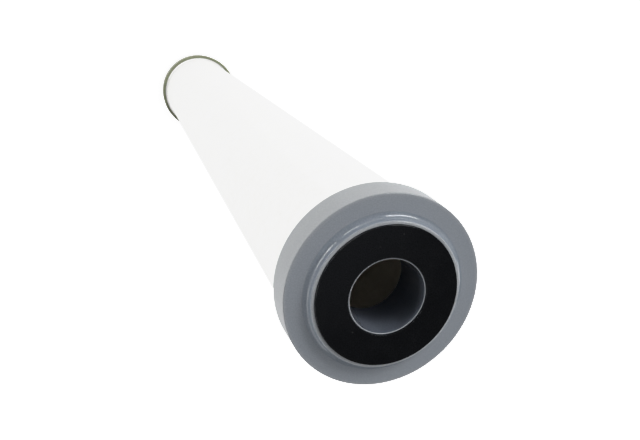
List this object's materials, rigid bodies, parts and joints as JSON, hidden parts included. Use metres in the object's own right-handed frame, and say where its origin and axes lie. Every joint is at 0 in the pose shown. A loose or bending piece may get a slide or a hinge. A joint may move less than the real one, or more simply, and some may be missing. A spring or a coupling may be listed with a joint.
{
  "type": "ceramic membrane filter",
  "caption": "Ceramic membrane filter cartridge, open at both ends: long white porous tube in grey end caps, each with a raised collar, a flat black gasket and a short spigot.",
  "frame": {"origin": "on the cartridge's axis, in the plane of the rear gasket's outer face, which it stands on", "axes": "+Z along the cartridge's axis, up from the rear end to the front end; X and Y are any square pair across it, because every piece is round"},
  "size_m": [0.0712, 0.0712, 0.508],
  "materials": {
    "ceramic": "matte",
    "front_cap_plastic": "satin",
    "rear_cap_plastic": "satin",
    "gasket_rubber": "matte",
    "bond_adhesive": "matte"
  },
  "bodies": {
    "root": {"ceramic_tube": "ceramic", "front_end_cap": "front_cap_plastic", "front_gasket": "gasket_rubber", "front_bond_ring": "bond_adhesive", "rear_end_cap": "rear_cap_plastic", "rear_gasket": "gasket_rubber", "rear_bond_ring": "bond_adhesive"}
  },
  "joints": []
}
